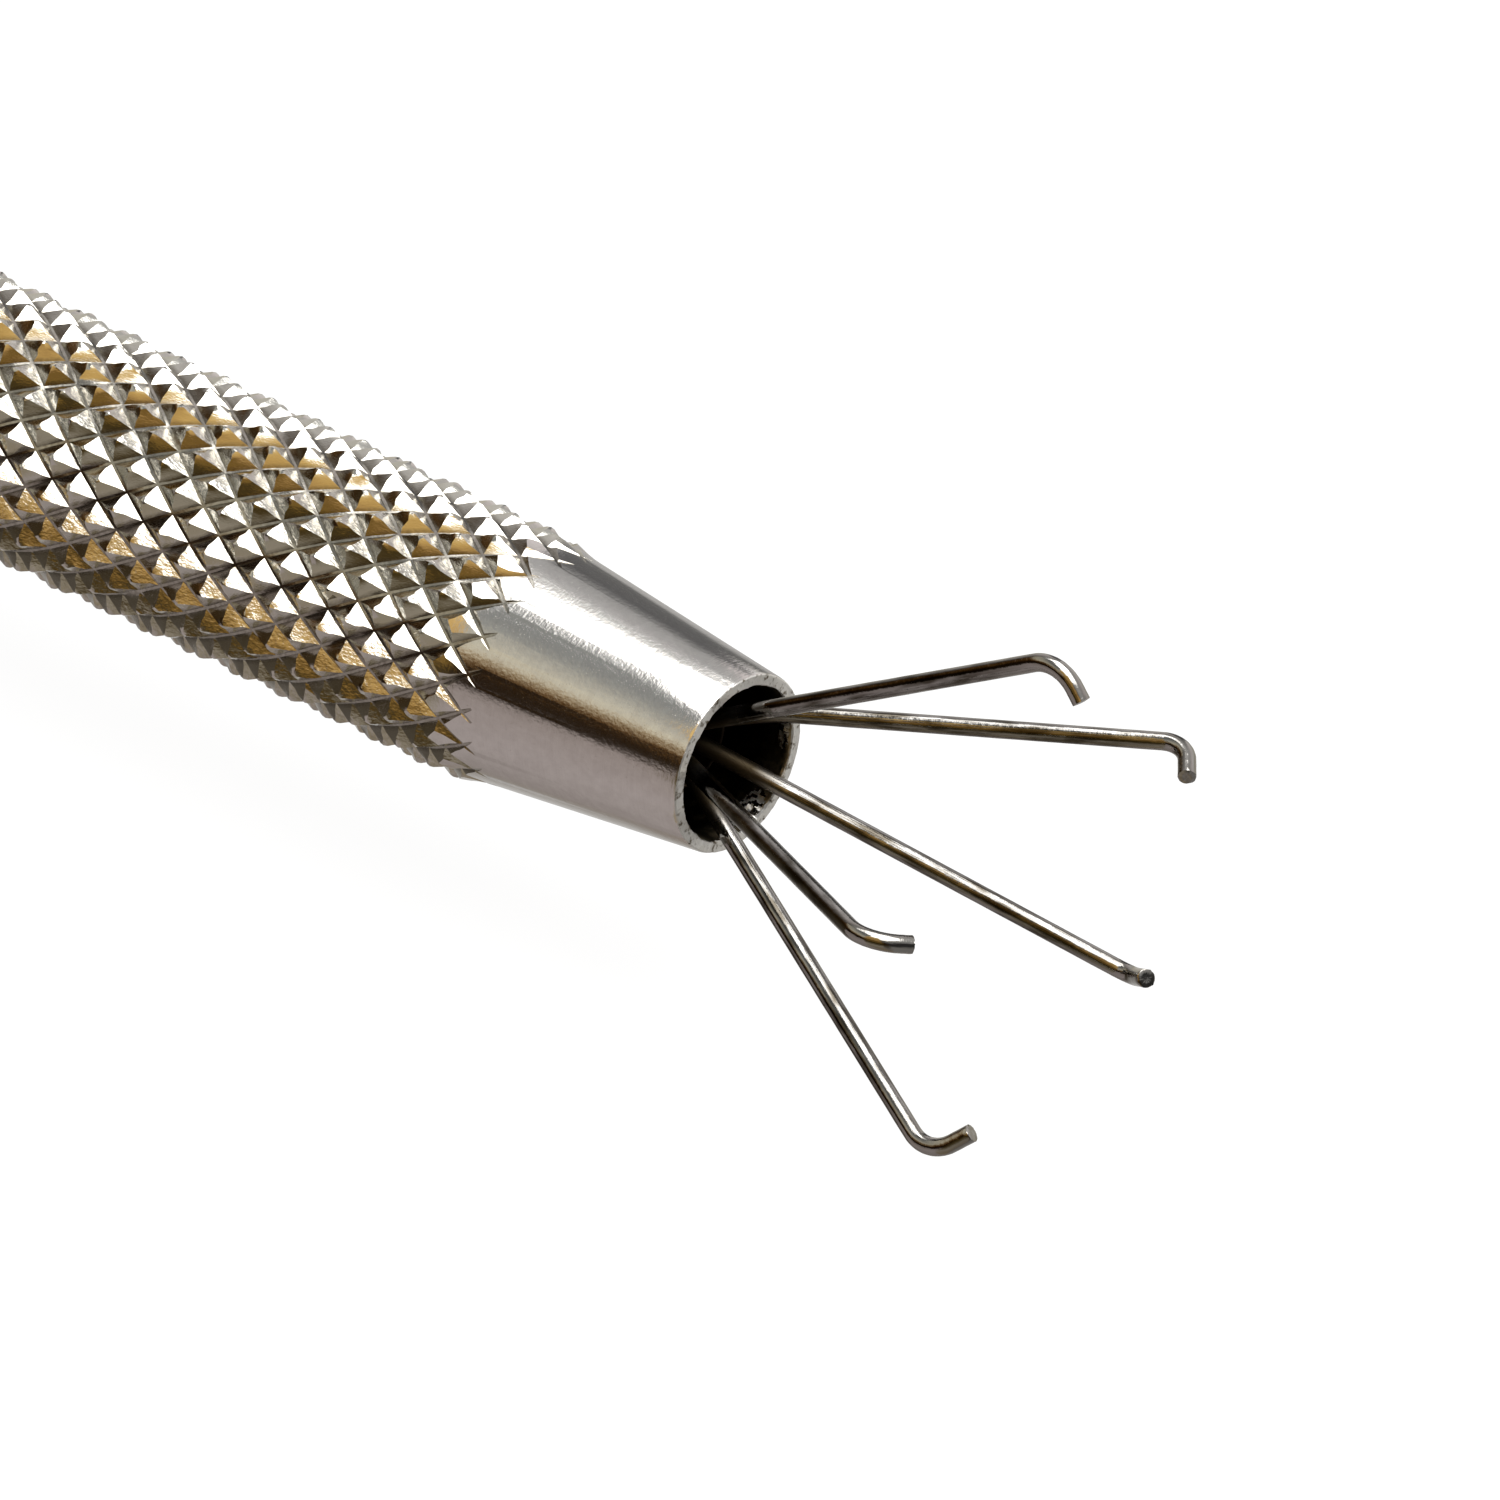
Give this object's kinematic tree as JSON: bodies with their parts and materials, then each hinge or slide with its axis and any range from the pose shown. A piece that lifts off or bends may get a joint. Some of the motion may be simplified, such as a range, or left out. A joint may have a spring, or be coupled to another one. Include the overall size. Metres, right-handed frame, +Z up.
{
  "type": "claw pick-up tool",
  "caption": "Pen-shaped pick-up tool: a knurled steel barrel with a thumb button that pushes hooked spring-wire claws out of the nose and opens them.",
  "frame": {"origin": "on the tool axis, half way along the knurled grip", "axes": "+X along the tool axis towards the claws, -X towards the thumb button, +Z up"},
  "size_m": [0.1184, 0.0146, 0.0145],
  "materials": {
    "nickel": "bright nickel plate over diamond knurling and a fine turned nose",
    "claw_wire": "drawn spring wire with a dark polish",
    "steel": "ground",
    "spring_wire": "drawn",
    "blackened": "crimped and blackened steel",
    "brass": "turned"
  },
  "bodies": {
    "barrel": {"barrel": "nickel", "front_guide_bush": "brass", "spring_seat": "brass", "front_washer": "steel", "end_cap": "nickel", "return_spring": "spring_wire"},
    "spring_follower": {"rear_washer": "steel"},
    "plunger": {"plunger_rod": "steel", "stop_collar": "brass", "push_button": "nickel", "button_pin": "steel", "claw_ferrule": "blackened"},
    "claw_1": {"claw_1": "claw_wire"},
    "claw_2": {"claw_2": "claw_wire"},
    "claw_3": {"claw_3": "claw_wire"},
    "claw_4": {"claw_4": "claw_wire"},
    "claw_5": {"claw_5": "claw_wire"}
  },
  "joints": [
    {"name": "plunger_slide", "type": "slide", "parent": "barrel", "child": "spring_follower", "axis": [1, 0, 0], "range_m": [-0.005, 0], "stiffness_N_per_m": 400, "springref_m": -0.009, "deforming": ["return_spring"]},
    {"name": "plunger_spin", "type": "hinge", "parent": "spring_follower", "child": "plunger", "pos_m": [0, 0, 0], "axis": [1, 0, 0], "continuous": true},
    {"name": "claw_1_close", "type": "hinge", "parent": "plunger", "child": "claw_1", "pos_m": [0.05, -0.00019, 0.00045], "axis": [0, -0.9851, 0.1722], "range_deg": [-23, 0]},
    {"name": "claw_2_close", "type": "hinge", "parent": "plunger", "child": "claw_2", "pos_m": [0.05, 0.00037, 0.00032], "axis": [0, -0.2187, 0.9758], "range_deg": [-21.91, 0]},
    {"name": "claw_3_close", "type": "hinge", "parent": "plunger", "child": "claw_3", "pos_m": [0.05, 0.00042, -0.00026], "axis": [0, 0.7329, 0.6803], "range_deg": [-21.99, 0]},
    {"name": "claw_4_close", "type": "hinge", "parent": "plunger", "child": "claw_4", "pos_m": [0.05, -0.00049, -0.00004], "axis": [0, -0.3078, -0.9515], "range_deg": [-22.16, 0]},
    {"name": "claw_5_close", "type": "hinge", "parent": "plunger", "child": "claw_5", "pos_m": [0.05, -0.00011, -0.00048], "axis": [0, 0.8018, -0.5975], "range_deg": [-23.23, 0]}
  ],
  "couplings": [
    {"joint": "claw_1_close", "follows": "plunger_slide", "rad_per_m": 79.238},
    {"joint": "claw_2_close", "follows": "plunger_slide", "rad_per_m": 75.421},
    {"joint": "claw_3_close", "follows": "plunger_slide", "rad_per_m": 75.718},
    {"joint": "claw_4_close", "follows": "plunger_slide", "rad_per_m": 76.307},
    {"joint": "claw_5_close", "follows": "plunger_slide", "rad_per_m": 80.04}
  ]
}
